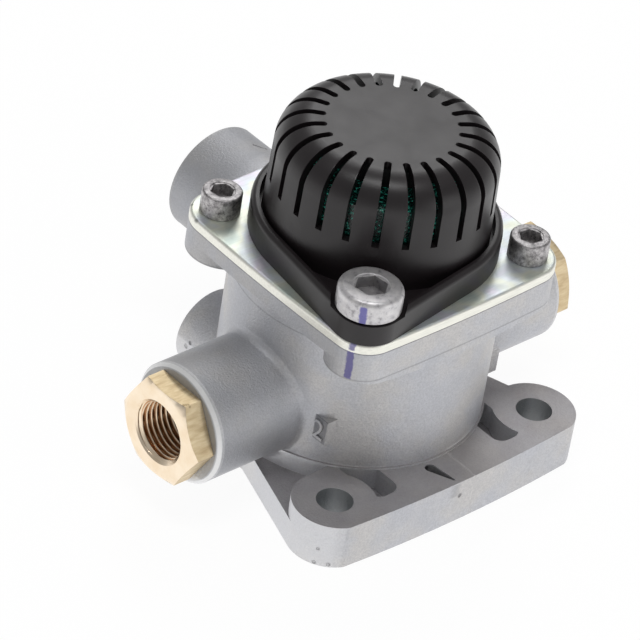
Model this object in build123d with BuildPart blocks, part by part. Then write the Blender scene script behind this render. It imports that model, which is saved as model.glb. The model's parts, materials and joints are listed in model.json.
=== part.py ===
from build123d import *
import math
import os

os.makedirs("parts", exist_ok=True)

# Air brake relay valve with a cast housing, two side ports, two rear ports and a silencer on top.
# Millimetres, +Z up. The origin is on the body axis at the lower face of the base.
# Pressure from the control port lifts the relay piston, its stem closes the exhaust in the
# valve's rubber face and then lifts the valve off the supply seat.

# Fits
slide_gap = 0.05
seal_gap = 0.02
shim = 0.1

# Housing tower and base
body_r = 33.7
joint_z = 55.7
base_t = 12.2
web_t = 7.3
web_circle_r = 31.4
lug_x = 33.2
lug_y = 32.9
lug_r = 10.6
front_past = 0.8
front_bow_r = 460.0
mount_hole_r = 4.6
foot_lip = 0.55
foot_lip_h = 0.9

# Core-out pockets in the front bar of the base
pocket_x = 20.3
pocket_w = 8.0
pocket_end_y = 38.3
pocket_floor_z = 6.0
drain_x = -4.9
drain_y = 36.2
drain_r = 1.45
drain_tip_x = -3.0
drain_tip_y = 42.7
drain_tip_r = 0.3
drain_depth = 3.0
pocket_round = 2.9

# Top flange, cover plate and its screws
corner_pitch = 26.5
corner_r = 8.4
small_corner_inset = 1.5
small_corner_r = 9.4
side_bow_r = 600.0
flange_t = 4.2
corner_lug_t = 8.2
front_dip = 2.2
cover_t = 2.5
cover_round = 0.8
vent_r = 15.0

# Side ports, on the X axis
port_z = 22.8
port_reach = 56.8
port_boss_r = 15.4
port_chamfer = 1.1
port_thread_r = 10.25
port_thread_l = 14.0
port_bore_r = 5.7
blend_r = 2.0

# Rear ports, facing +Y
supply_x = -1.0
supply_z = 40.6
supply_reach = 55.8
supply_boss_r = 14.3
supply_bore_r = 6.4
control_x = -14.0
control_z = 11.5
control_reach = 36.5
control_boss_r = 10.8
control_thread_r = 7.25
control_thread_l = 10.0
control_bore_r = 2.4
control_bore_z = 6.6

# Numbered pads beside the side ports
pad_x = 28.5
pad_y = 22.2
pad_low_z = 19.3
pad_high_z = 26.2

# Stepped bore of the housing
floor_t = 4.0
piston_bore_r = 24.0
chamber_z = 17.2
chamber_r = 25.5
seat_shoulder_z = 29.0
seat_bore_r = 27.0
guide_bore_r = 28.6
guide_t = 6.0

# Seat insert and its retaining ring
seat_t = 5.0
seat_opening_r = 11.0
seat_bead_w = 1.5
seat_bead_h = 1.5
seat_bead_chamfer = 0.45
ring_wire = 1.2
ring_depth = 1.0
ring_band = 2.6
ring_gap_deg = 40.0
ring_eye_r = 2.1
ring_eye_hole_r = 0.8
ring_eye_deg = 6.0

# Seals
oring_d = 1.8
groove_w = 2.4
piston_oring_d = 2.4
piston_groove_w = 3.2
adapter_oring_d = 1.6

# Valve, guide and spring
sleeve_r = 9.0
sleeve_bore_r = 6.5
valve_head_r = 14.2
valve_head_t = 2.3
valve_rubber_t = 2.2
valve_lift = 2.5
guide_wall = 2.1
guide_clear = 2.2
sleeve_short = 1.2
sleeve_chamfer = 0.5
spring_wire = 1.5
spring_turns = 3.75
spring_side_gap = 0.6

# Relay piston
piston_foot_r = 8.0
piston_foot_h = 4.5
piston_rim_h = 6.0
piston_web_t = 3.0
piston_rim_w = 4.5
stem_r = 8.4
stem_bore_r = 5.4
stem_gap = 1.5

# Brass adapters
hex_flats = 24.0
hex_t = 6.0
hex_chamfer = 1.2
hex_flat_margin = 0.3
right_hex_turn = 13.0
adapter_male_l = 9.0
adapter_thread_r = 7.25
mouth_chamfer = 1.1

# Silencer cap
cap_h = 32.0
cap_r = 30.7
cap_lug_r = 8.4
cap_lug_h = 5.5
ridge_h = 7.4
ridge_w = 2.0
ridge_round = 1.4
cap_floor_h = 3.6
dome_foot_r = 28.0
dome_top_r = 27.3
shoulder_r = 8.6
cap_wall = 2.2
slot_count = 24
slot_w = 1.8
slot_start_r = 16.8
slot_phase = 44.3
slot_low_z = 15.2
hold_ring_r = 15.0
hold_ring_w = 1.8

# Filter inside the cap
screen_t = 1.0
screen_hole_r = 1.7
screen_side_gap = 0.6
filter_h = 23.0
filter_bore_r = 12.0
filter_gap = 0.2
screen_inner_holes = 6
screen_outer_holes = 12

# Hexagon socket screws: M6 for the cover, M10 with low heads for the cap
cover_screw_r = 3.0
cover_head_r = 5.0
cover_head_h = 6.0
cover_head_chamfer = 0.6
cover_socket = 5.0
cover_screw_l = 10.0
cap_screw_r = 5.0
cap_head_r = 8.0
cap_head_h = 6.0
cap_head_chamfer = 1.4
cap_socket = 7.0
cap_screw_l = 16.0
bush_wall = 1.2
bush_h = 5.8
socket_depth = 3.3
screw_clear = 0.5

# Places worked out from the values above
cover_top_z = joint_z + cover_t
cap_top_z = cover_top_z + cap_h
seat_top_z = seat_shoulder_z + seat_t
seat_bead_z = seat_top_z + seat_bead_h
valve_back_z = seat_bead_z + valve_rubber_t
valve_top_z = valve_back_z + valve_head_t
guide_z = joint_z - guide_t
small_corner_pitch = corner_pitch - small_corner_inset
front_y = lug_y + lug_r + front_past
guide_low_z = valve_top_z + valve_lift + guide_clear
stem_top_z = seat_bead_z - stem_gap
head_seat_z = cover_top_z + bush_h
bush_r = cap_screw_r + screw_clear + bush_wall
hex_r = hex_flats / math.sqrt(3)


def belt(circles):
    """Face round the circles, listed anticlockwise as (x, y, radius): arcs and outer tangents."""
    normals = []
    for (ax, ay, ar), (bx, by, br) in zip(circles, circles[1:] + circles[:1]):
        lean = math.asin((ar - br) / math.hypot(bx - ax, by - ay))
        normals.append(math.atan2(by - ay, bx - ax) - math.pi / 2 + lean)
    with BuildLine() as outline:
        for index, (x, y, r) in enumerate(circles):
            begin = normals[index - 1]
            end = normals[index]
            sweep_angle = math.degrees(end - begin) % 360
            CenterArc((x, y), r, math.degrees(begin), sweep_angle)
            nx, ny, nr = circles[(index + 1) % len(circles)]
            Line(
                (x + r * math.cos(end), y + r * math.sin(end)),
                (nx + nr * math.cos(end), ny + nr * math.sin(end)),
            )
    make_face(outline.edges())


def front_bar():
    """Bar between the mounting lugs, with one shallow arc as the front of bar and lugs."""
    with Locations((0, (-lug_y - front_y) / 2)):
        Rectangle(2 * lug_x, front_y - lug_y)
    with Locations((0, front_bow_r - front_y)):
        Circle(front_bow_r, mode=Mode.INTERSECT)


def cover_outline():
    """Square face with round corners, each side a shallow arc tangent to the corners beside it."""
    corners = [(Vector(x, y), r) for x, y, r in cover_corners]
    sides = []
    for (near, near_r), (far, far_r) in zip(corners, corners[1:] + corners[:1]):
        along = (far - near).normalized()
        span = (far - near).length
        near_reach = side_bow_r - near_r
        far_reach = side_bow_r - far_r
        foot = (near_reach**2 - far_reach**2 + span**2) / (2 * span)
        inward = along.rotate(Axis.Z, 90)
        centre = near + along * foot + inward * math.sqrt(near_reach**2 - foot**2)
        start = near + (near - centre).normalized() * near_r
        end = far + (far - centre).normalized() * far_r
        sides.append((start, centre - inward * side_bow_r, end))
    with BuildLine() as outline:
        for index, (start, middle, end) in enumerate(sides):
            ThreePointArc(start, middle, end)
            next_start = sides[(index + 1) % len(sides)][0]
            corner, turn_r = corners[(index + 1) % len(corners)]
            tip = corner + (end + next_start - corner * 2).normalized() * turn_r
            ThreePointArc(end, tip, next_start)
    make_face(outline.edges())


def ring_profile(inner, outer, low, high):
    """Rectangular half section between two radii and two heights, for a revolve about Z."""
    with Locations(((inner + outer) / 2, (low + high) / 2)):
        Rectangle(outer - inner, high - low)


def socket_screw(thread_r, length, head_r, head_h, socket, top_chamfer, seat_z, places):
    """Hexagon socket screws standing head up, with the head's seat at seat_z."""
    with BuildPart() as screws:
        with BuildSketch(Plane.XY.offset(seat_z)):
            with Locations(*places):
                Circle(head_r)
        extrude(amount=head_h)
        chamfer(screws.edges().group_by(Axis.Z)[-1], length=top_chamfer)
        with BuildSketch(Plane.XY.offset(seat_z)):
            with Locations(*places):
                Circle(thread_r)
        extrude(amount=-length)
        with BuildSketch(Plane.XY.offset(seat_z + head_h)):
            with Locations(*places):
                RegularPolygon(socket / 2, 6, major_radius=False)
        extrude(amount=-socket_depth, mode=Mode.SUBTRACT)
    return screws.part


# Housing: the casting
base_front = [(-lug_x, -lug_y, lug_r), (lug_x, -lug_y, lug_r)]
cap_screw_places = [(-corner_pitch, -corner_pitch), (corner_pitch, corner_pitch)]
cover_screw_places = [(-corner_pitch, corner_pitch), (corner_pitch, -corner_pitch)]

cover_corners = [
    (-corner_pitch, -corner_pitch, corner_r),
    (small_corner_pitch, -small_corner_pitch, small_corner_r),
    (corner_pitch, corner_pitch, corner_r),
    (-small_corner_pitch, small_corner_pitch, small_corner_r),
]
lug_low_z = joint_z - corner_lug_t

with BuildPart() as housing:
    # Front face of the cover flange, with a lower edge that dips between the corner lugs.
    with BuildSketch(Plane.XY.offset(joint_z)):
        cover_outline()
        with Locations((0, corner_pitch)):
            Rectangle(4 * corner_pitch, 4 * corner_pitch, mode=Mode.SUBTRACT)
    extrude(amount=-corner_lug_t - front_dip)
    with BuildSketch(Plane.XZ):
        with BuildLine():
            ThreePointArc(
                (-corner_pitch - corner_r, lug_low_z),
                (0, lug_low_z - front_dip),
                (corner_pitch + corner_r, lug_low_z),
            )
            Polyline(
                (corner_pitch + corner_r, lug_low_z),
                (corner_pitch + corner_r, 0),
                (-corner_pitch - corner_r, 0),
                (-corner_pitch - corner_r, lug_low_z),
            )
        make_face()
    extrude(amount=2 * corner_pitch, mode=Mode.SUBTRACT)
    with BuildSketch():
        Circle(body_r)
    extrude(amount=joint_z)
    # Side port bosses grow out of the tower with a cast blend.
    with BuildSketch(Plane.YZ.offset(-port_reach)):
        with Locations((0, port_z)):
            Circle(port_boss_r)
    extrude(amount=2 * port_reach)
    low_edges = housing.edges().filter_by(lambda e: e.center().Z < port_z + port_boss_r)
    fillet(low_edges.filter_by(GeomType.BSPLINE), radius=blend_r)
    ends = housing.edges().filter_by(lambda e: abs(e.center().X) > port_reach - shim)
    chamfer(ends, length=port_chamfer)
    # Rear bosses for supply and control.
    with BuildSketch(Plane.XZ.offset(-supply_reach)):
        with Locations((supply_x, supply_z)):
            Circle(supply_boss_r)
    extrude(amount=supply_reach)
    with BuildSketch(Plane.XZ.offset(-control_reach)):
        with Locations((control_x, control_z)):
            Circle(control_boss_r)
    extrude(amount=control_reach)
    # Low webs run from the mounting lugs to the tower; the bar between the lugs is thicker.
    with BuildSketch():
        belt(base_front + [(0, 0, web_circle_r)])
        front_bar()
    extrude(amount=web_t)
    with BuildSketch():
        belt(base_front)
        front_bar()
    extrude(amount=base_t)
    # Lip where the tower meets the base.
    with BuildSketch(Plane.XY.offset(base_t - foot_lip_h / 2)):
        Circle(body_r + foot_lip)
    extrude(amount=foot_lip_h)
    # Cover flange with four corner lugs.
    with BuildSketch(Plane.XY.offset(joint_z)):
        cover_outline()
    extrude(amount=-flange_t)
    with BuildSketch(Plane.XY.offset(joint_z)):
        for x, y, r in cover_corners:
            with Locations((x, y)):
                Circle(r)
    extrude(amount=-corner_lug_t)
    # Pads for the port numbers.
    for side in (-1, 1):
        with BuildSketch(Plane.XY.offset(pad_low_z)):
            with Locations((side * pad_x / 2, -pad_y / 2)):
                Rectangle(pad_x, pad_y)
        extrude(amount=pad_high_z - pad_low_z)
    # Stepped bore, closed at the bottom.
    with BuildSketch(Plane.XZ):
        ring_profile(0, piston_bore_r, floor_t, joint_z)
        ring_profile(0, chamber_r, chamber_z, joint_z)
        ring_profile(0, seat_bore_r, seat_shoulder_z, joint_z)
        ring_profile(0, guide_bore_r, guide_z, joint_z)
        ring_profile(0, seat_bore_r + ring_depth, seat_top_z, seat_top_z + ring_wire + shim)
    revolve(axis=Axis.Z, mode=Mode.SUBTRACT)
    # Side ports.
    for side in (-1, 1):
        with BuildSketch(Plane.YZ.offset(side * port_reach)):
            with Locations((0, port_z)):
                Circle(port_thread_r)
        extrude(amount=-side * port_thread_l, mode=Mode.SUBTRACT)
    with BuildSketch(Plane.YZ.offset(-port_reach)):
        with Locations((0, port_z)):
            Circle(port_bore_r)
    extrude(amount=2 * port_reach, mode=Mode.SUBTRACT)
    # Rear ports.
    with BuildSketch(Plane.XZ.offset(-supply_reach)):
        with Locations((supply_x, supply_z)):
            Circle(port_thread_r)
    extrude(amount=port_thread_l, mode=Mode.SUBTRACT)
    with BuildSketch(Plane.XZ.offset(-supply_reach)):
        with Locations((supply_x, supply_z)):
            Circle(supply_bore_r)
    extrude(amount=supply_reach, mode=Mode.SUBTRACT)
    with BuildSketch(Plane.XZ.offset(-control_reach)):
        with Locations((control_x, control_z)):
            Circle(control_thread_r)
    extrude(amount=control_thread_l, mode=Mode.SUBTRACT)
    with BuildSketch(Plane.XZ.offset(-control_reach)):
        with Locations((control_x, control_bore_z)):
            Circle(control_bore_r)
    extrude(amount=control_reach, mode=Mode.SUBTRACT)
    # Mounting holes, pockets and the drain groove in the base.
    with BuildSketch(Plane.XY):
        with Locations((-lug_x, -lug_y), (lug_x, -lug_y)):
            Circle(mount_hole_r)
    extrude(amount=base_t, mode=Mode.SUBTRACT)
    with BuildSketch(Plane.XY.offset(pocket_floor_z)):
        with Locations((-pocket_x, -pocket_end_y / 2), (pocket_x, -pocket_end_y / 2)):
            RectangleRounded(pocket_w, pocket_end_y, pocket_round)
        Circle(body_r, mode=Mode.SUBTRACT)
        with Locations((-lug_x, -lug_y), (lug_x, -lug_y)):
            Circle(lug_r, mode=Mode.SUBTRACT)
    extrude(amount=base_t - pocket_floor_z, mode=Mode.SUBTRACT)
    with BuildSketch(Plane.XY.offset(base_t)):
        belt([(drain_x, -drain_y, drain_r), (drain_tip_x, -drain_tip_y, drain_tip_r)])
    extrude(amount=-drain_depth, mode=Mode.SUBTRACT)
    # Threaded holes for the cover and cap screws.
    with BuildSketch(Plane.XY.offset(joint_z)):
        with Locations(*cover_screw_places):
            Circle(cover_screw_r + slide_gap)
        with Locations(*cap_screw_places):
            Circle(cap_screw_r + slide_gap)
    extrude(amount=-corner_lug_t, mode=Mode.SUBTRACT)
housing.part.label = "housing"
export_step(housing.part, "parts/housing.step")

# Brass adapters in the side ports, with hexagon corners towards the front and back
for side, name, hex_turn in ((-1, "port_adapter_left", 0), (1, "port_adapter_right", right_hex_turn)):
    with BuildPart() as adapter:
        with BuildSketch(Plane.YZ.offset(side * port_reach)):
            with Locations((0, port_z)):
                RegularPolygon(hex_flats / 2, 6, major_radius=False, rotation=hex_turn)
        extrude(amount=side * hex_t)
        # The outer face is turned to a cone that trims the hexagon's corners.
        with BuildSketch(Plane.XZ):
            face_x = side * (port_reach + hex_t)
            with BuildLine():
                Polyline(
                    (face_x, port_z + hex_flats / 2 - hex_flat_margin),
                    (face_x, port_z + 2 * hex_flats),
                    (face_x - side * hex_chamfer, port_z + 2 * hex_flats),
                    (face_x - side * hex_chamfer, port_z + hex_r + hex_flat_margin),
                    close=True,
                )
            make_face()
        revolve(axis=Axis((0, 0, port_z), (1, 0, 0)), mode=Mode.SUBTRACT)
        with BuildSketch(Plane.YZ.offset(side * port_reach)):
            with Locations((0, port_z)):
                Circle(port_thread_r - slide_gap)
        extrude(amount=-side * adapter_male_l)
        # Seal groove under the hexagon, at the top of the male thread.
        with BuildSketch(Plane.YZ.offset(side * port_reach)):
            with Locations((0, port_z)):
                Circle(port_thread_r)
                Circle(port_thread_r - adapter_oring_d / 2, mode=Mode.SUBTRACT)
        extrude(amount=-side * (adapter_oring_d + slide_gap), mode=Mode.SUBTRACT)
        with BuildSketch(Plane.YZ.offset(side * (port_reach + hex_t))):
            with Locations((0, port_z)):
                Circle(adapter_thread_r)
        extrude(amount=-side * (hex_t + adapter_male_l), mode=Mode.SUBTRACT)
        rims = adapter.edges().filter_by(GeomType.CIRCLE)
        rims = rims.filter_by(lambda e: e.radius < adapter_thread_r + shim)
        mouth = rims.sort_by(Axis.X)[0 if side < 0 else -1]
        chamfer(mouth, length=mouth_chamfer)
    adapter.part.label = name
    export_step(adapter.part, f"parts/{name}.step")

# Rubber rings under the adapters' hexagons, in the groove at the mouth of each port
for side, name in ((-1, "adapter_seal_left"), (1, "adapter_seal_right")):
    with BuildPart() as adapter_seal:
        with BuildSketch(Plane.XZ):
            seal_x = side * (port_reach - adapter_oring_d / 2 - slide_gap / 2)
            with Locations((seal_x, port_z + port_thread_r - adapter_oring_d / 4)):
                Circle(adapter_oring_d / 4 - seal_gap)
        revolve(axis=Axis((0, 0, port_z), (1, 0, 0)))
    adapter_seal.part.label = name
    export_step(adapter_seal.part, f"parts/{name}.step")

# Relay piston: foot, dished web, grooved rim and the hollow stem that closes the exhaust
piston_low_z = floor_t + shim
piston_web_z = piston_low_z + piston_foot_h
piston_top_z = piston_web_z + piston_rim_h
piston_r = piston_bore_r - 2 * slide_gap
piston_groove_z = piston_web_z + (piston_rim_h - piston_groove_w) / 2
with BuildPart() as relay_piston:
    with BuildSketch(Plane.XZ):
        ring_profile(0, piston_foot_r, piston_low_z, piston_web_z)
        ring_profile(0, piston_r, piston_web_z, piston_web_z + piston_web_t)
        ring_profile(piston_r - piston_rim_w, piston_r, piston_web_z, piston_top_z)
        ring_profile(0, stem_r, piston_web_z, stem_top_z)
        with Locations((0, (stem_top_z + piston_top_z) / 2)):
            Rectangle(2 * stem_bore_r, stem_top_z - piston_top_z, mode=Mode.SUBTRACT)
        with Locations((piston_r, piston_groove_z + piston_groove_w / 2)):
            Rectangle(2 * (piston_oring_d - 2 * slide_gap), piston_groove_w, mode=Mode.SUBTRACT)
        with Locations((0, (stem_top_z + piston_low_z) / 2)):
            Rectangle(piston_bore_r * 2, joint_z, align=(Align.MAX, Align.CENTER), mode=Mode.SUBTRACT)
    revolve(axis=Axis.Z)
relay_piston.part.label = "relay_piston"
export_step(relay_piston.part, "parts/relay_piston.step")

with BuildPart() as piston_seal:
    with BuildSketch(Plane.XZ):
        seal_r = piston_oring_d / 2 - seal_gap
        with Locations((piston_bore_r - piston_oring_d / 2, piston_groove_z + piston_groove_w / 2)):
            Circle(seal_r)
    revolve(axis=Axis.Z)
piston_seal.part.label = "piston_seal"
export_step(piston_seal.part, "parts/piston_seal.step")

# Seat insert: the wall between supply and delivery, with the raised supply seat
seat_r = seat_bore_r - slide_gap
seat_groove_z = seat_shoulder_z + (seat_t - groove_w) / 2
with BuildPart() as seat_insert:
    with BuildSketch(Plane.XZ):
        ring_profile(seat_opening_r, seat_r, seat_shoulder_z, seat_top_z)
        ring_profile(seat_opening_r, seat_opening_r + seat_bead_w, seat_top_z, seat_bead_z)
        with Locations((seat_r, seat_groove_z + groove_w / 2)):
            Rectangle(2 * (oring_d - slide_gap), groove_w, mode=Mode.SUBTRACT)
    revolve(axis=Axis.Z)
    chamfer(seat_insert.edges().group_by(Axis.Z)[-1], length=seat_bead_chamfer)
seat_insert.part.label = "seat_insert"
export_step(seat_insert.part, "parts/seat_insert.step")

with BuildPart() as seat_insert_seal:
    with BuildSketch(Plane.XZ):
        with Locations((seat_bore_r - oring_d / 2, seat_groove_z + groove_w / 2)):
            Circle(oring_d / 2 - seal_gap)
    revolve(axis=Axis.Z)
seat_insert_seal.part.label = "seat_insert_seal"
export_step(seat_insert_seal.part, "parts/seat_insert_seal.step")

# Internal retaining ring above the seat insert, with its gap and plier eyes
with BuildPart() as seat_retaining_ring:
    ring_r = seat_bore_r + ring_depth - slide_gap
    with BuildSketch(Plane.XY.offset(seat_top_z + shim / 2)):
        Circle(ring_r)
        Circle(ring_r - ring_band, mode=Mode.SUBTRACT)
        with PolarLocations(ring_r - ring_band, 2, -90 - ring_gap_deg / 2, ring_gap_deg, endpoint=True):
            Circle(ring_eye_r)
            Circle(ring_eye_hole_r, mode=Mode.SUBTRACT)
        with BuildLine():
            gap_half = math.radians(ring_gap_deg / 2 - ring_eye_deg)
            gap_end = (2 * ring_r * math.sin(gap_half), -2 * ring_r * math.cos(gap_half))
            Polyline((0, 0), gap_end, (-gap_end[0], gap_end[1]), close=True)
        make_face(mode=Mode.SUBTRACT)
    extrude(amount=ring_wire)
seat_retaining_ring.part.label = "seat_retaining_ring"
export_step(seat_retaining_ring.part, "parts/seat_retaining_ring.step")

# Valve: a brass sleeve with a head, and the rubber face that meets both seats
sleeve_top_z = joint_z - sleeve_short
with BuildPart() as valve_sleeve:
    with BuildSketch(Plane.XZ):
        ring_profile(sleeve_bore_r, valve_head_r, valve_back_z, valve_top_z)
        ring_profile(sleeve_bore_r, sleeve_r, valve_back_z, sleeve_top_z)
    revolve(axis=Axis.Z)
    chamfer(valve_sleeve.edges().group_by(Axis.Z)[-1], length=sleeve_chamfer)
valve_sleeve.part.label = "valve_sleeve"
export_step(valve_sleeve.part, "parts/valve_sleeve.step")

with BuildPart() as valve_rubber:
    with BuildSketch(Plane.XZ):
        ring_profile(sleeve_bore_r, valve_head_r, seat_bead_z, valve_back_z)
    revolve(axis=Axis.Z)
valve_rubber.part.label = "valve_rubber"
export_step(valve_rubber.part, "parts/valve_rubber.step")

# Guide insert: closes the supply chamber and guides the sleeve
guide_r = guide_bore_r - slide_gap
tube_r = sleeve_r + slide_gap + guide_wall
guide_groove_z = guide_z + (guide_t - groove_w) / 2
with BuildPart() as guide_insert:
    with BuildSketch(Plane.XZ):
        ring_profile(sleeve_r + slide_gap, guide_r, guide_z, joint_z)
        ring_profile(sleeve_r + slide_gap, tube_r, guide_low_z, joint_z)
        with Locations((guide_r, guide_groove_z + groove_w / 2)):
            Rectangle(2 * (oring_d - slide_gap), groove_w, mode=Mode.SUBTRACT)
        with Locations((sleeve_r + slide_gap, guide_groove_z + groove_w / 2)):
            Rectangle(2 * (oring_d - slide_gap), groove_w, mode=Mode.SUBTRACT)
    revolve(axis=Axis.Z)
guide_insert.part.label = "guide_insert"
export_step(guide_insert.part, "parts/guide_insert.step")

for name, centre_r in (
    ("guide_insert_seal", guide_bore_r - oring_d / 2),
    ("sleeve_seal", sleeve_r + oring_d / 2),
):
    with BuildPart() as guide_seal:
        with BuildSketch(Plane.XZ):
            with Locations((centre_r, guide_groove_z + groove_w / 2)):
                Circle(oring_d / 2 - seal_gap)
        revolve(axis=Axis.Z)
    guide_seal.part.label = name
    export_step(guide_seal.part, f"parts/{name}.step")

# Closing spring between the guide insert and the valve head
spring_r = tube_r + spring_side_gap + spring_wire / 2
spring_low_z = valve_top_z + spring_wire / 2 + seal_gap
spring_high_z = guide_z - spring_wire / 2 - seal_gap
with BuildPart() as valve_spring:
    with BuildLine():
        coil = Helix(
            pitch=(spring_high_z - spring_low_z) / spring_turns,
            height=spring_high_z - spring_low_z,
            radius=spring_r,
            center=(0, 0, spring_low_z),
        )
    with BuildSketch(Plane(origin=coil @ 0, z_dir=coil % 0)):
        Circle(spring_wire / 2)
    sweep(is_frenet=True)
valve_spring.part.label = "valve_spring"
export_step(valve_spring.part, "parts/valve_spring.step")

# Plated steel cover, with a vent in the middle and clearance holes for both pairs of screws
with BuildPart() as cover_plate:
    with BuildSketch(Plane.XY.offset(joint_z)):
        cover_outline()
    extrude(amount=cover_t)
    fillet(cover_plate.edges().group_by(Axis.Z)[-1], radius=cover_round)
    with BuildSketch(Plane.XY.offset(joint_z)):
        Circle(vent_r)
        with Locations(*cover_screw_places):
            Circle(cover_screw_r + screw_clear)
        with Locations(*cap_screw_places):
            Circle(cap_screw_r + screw_clear)
    extrude(amount=cover_t, mode=Mode.SUBTRACT)
cover_plate.part.label = "cover_plate"
export_step(cover_plate.part, "parts/cover_plate.step")

# Silencer cap: a moulded dome with radial slots on a lugged, ribbed foot
cap_lugs = [(x, y, cap_lug_r) for x, y in cap_screw_places]
dome_in_r = dome_top_r - cap_wall
cavity_low_r = dome_foot_r - cap_wall
shoulder_z = cap_top_z - shoulder_r
with BuildPart() as silencer_cap:
    # Foot: a diamond with rounded outer edge, hollowed between dome, lugs and side ridges.
    with BuildSketch(Plane.XY.offset(cover_top_z)):
        belt([cap_lugs[0], (0, 0, cap_r)])
        belt([(0, 0, cap_r), cap_lugs[1]])
    extrude(amount=ridge_h)
    fillet(silencer_cap.edges().group_by(Axis.Z)[-1], radius=ridge_round)
    with BuildSketch(Plane.XY.offset(cover_top_z + cap_floor_h)):
        belt([(cap_lugs[0][0], cap_lugs[0][1], cap_lug_r - ridge_w), (0, 0, cap_r - ridge_w)])
        belt([(0, 0, cap_r - ridge_w), (cap_lugs[1][0], cap_lugs[1][1], cap_lug_r - ridge_w)])
        with Locations(*cap_screw_places):
            Circle(cap_lug_r, mode=Mode.SUBTRACT)
    extrude(amount=ridge_h, mode=Mode.SUBTRACT)
    with BuildSketch(Plane.XY.offset(cover_top_z + cap_lug_h)):
        with Locations(*cap_screw_places):
            Circle(cap_lug_r + ridge_round / 2)
    extrude(amount=ridge_h, mode=Mode.SUBTRACT)
    # Dome: slightly tapered wall, wide shoulder and flat top.
    with BuildSketch(Plane.XZ):
        with BuildLine():
            Line((0, cover_top_z), (dome_foot_r, cover_top_z))
            Line((dome_foot_r, cover_top_z), (dome_top_r, shoulder_z))
            RadiusArc((dome_top_r, shoulder_z), (dome_top_r - shoulder_r, cap_top_z), -shoulder_r)
            Line((dome_top_r - shoulder_r, cap_top_z), (0, cap_top_z))
            Line((0, cap_top_z), (0, cover_top_z))
        make_face()
    revolve(axis=Axis.Z)
    with BuildSketch(Plane.XZ):
        with BuildLine():
            inner_r = shoulder_r - cap_wall
            Line((0, cover_top_z), (cavity_low_r, cover_top_z))
            Line((cavity_low_r, cover_top_z), (dome_in_r, shoulder_z))
            RadiusArc((dome_in_r, shoulder_z), (dome_in_r - inner_r, cap_top_z - cap_wall), -inner_r)
            Line((dome_in_r - inner_r, cap_top_z - cap_wall), (0, cap_top_z - cap_wall))
            Line((0, cap_top_z - cap_wall), (0, cover_top_z))
        make_face()
    revolve(axis=Axis.Z, mode=Mode.SUBTRACT)
    # Ring under the top that holds the filter down.
    with BuildSketch(Plane.XY.offset(cover_top_z + screen_t + filter_h + shim)):
        Circle(hold_ring_r)
        Circle(hold_ring_r - hold_ring_w, mode=Mode.SUBTRACT)
    extrude(amount=cap_h - cap_wall - screen_t - filter_h)
    # Slots run from the flat top over the shoulder and down the wall.
    with BuildSketch(Plane.XY.offset(cover_top_z + slot_low_z)):
        with PolarLocations(0, slot_count, start_angle=slot_phase):
            with Locations((slot_start_r, 0)):
                Circle(slot_w / 2)
                Rectangle(cap_r - slot_start_r, slot_w, align=(Align.MIN, Align.CENTER))
    extrude(amount=cap_h, mode=Mode.SUBTRACT)
    # Bores for the steel bushes.
    with BuildSketch(Plane.XY.offset(cover_top_z)):
        with Locations(*cap_screw_places):
            Circle(bush_r + slide_gap)
    extrude(amount=cap_h, mode=Mode.SUBTRACT)
silencer_cap.part.label = "silencer_cap"
export_step(silencer_cap.part, "parts/silencer_cap.step")

# Steel bushes that carry the cap screws through the plastic lugs
with BuildPart() as cap_bushes:
    with BuildSketch(Plane.XY.offset(cover_top_z)):
        with Locations(*cap_screw_places):
            Circle(bush_r)
            Circle(cap_screw_r + screw_clear, mode=Mode.SUBTRACT)
    extrude(amount=bush_h)
cap_bushes.part.label = "cap_bushes"
export_step(cap_bushes.part, "parts/cap_bushes.step")

# Perforated disc that carries the filter over the vent
screen_r = cavity_low_r - screen_side_gap
with BuildPart() as filter_screen:
    with BuildSketch(Plane.XY.offset(cover_top_z)):
        Circle(screen_r)
        Circle(screen_hole_r, mode=Mode.SUBTRACT)
        for row, count in enumerate((screen_inner_holes, screen_outer_holes)):
            with PolarLocations(vent_r * (row + 1) / 2 - screen_hole_r, count):
                Circle(screen_hole_r, mode=Mode.SUBTRACT)
    extrude(amount=screen_t)
filter_screen.part.label = "filter_screen"
export_step(filter_screen.part, "parts/filter_screen.step")

# Knitted filter ring, a close fit in the dome behind the slots
filter_r = dome_in_r - filter_gap
with BuildPart() as silencer_filter:
    with BuildSketch(Plane.XY.offset(cover_top_z + screen_t)):
        Circle(filter_r)
        Circle(filter_bore_r, mode=Mode.SUBTRACT)
    extrude(amount=filter_h)
silencer_filter.part.label = "silencer_filter"
export_step(silencer_filter.part, "parts/silencer_filter.step")

cover_screws = socket_screw(
    cover_screw_r,
    cover_screw_l,
    cover_head_r,
    cover_head_h,
    cover_socket,
    cover_head_chamfer,
    cover_top_z,
    cover_screw_places,
)
cover_screws.label = "cover_screws"
export_step(cover_screws, "parts/cover_screws.step")

cap_screws = socket_screw(
    cap_screw_r,
    cap_screw_l,
    cap_head_r,
    cap_head_h,
    cap_socket,
    cap_head_chamfer,
    head_seat_z,
    cap_screw_places,
)
cap_screws.label = "cap_screws"
export_step(cap_screws, "parts/cap_screws.step")
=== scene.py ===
import json
import math

import bmesh
import bpy
from mathutils import Matrix, Vector

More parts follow.
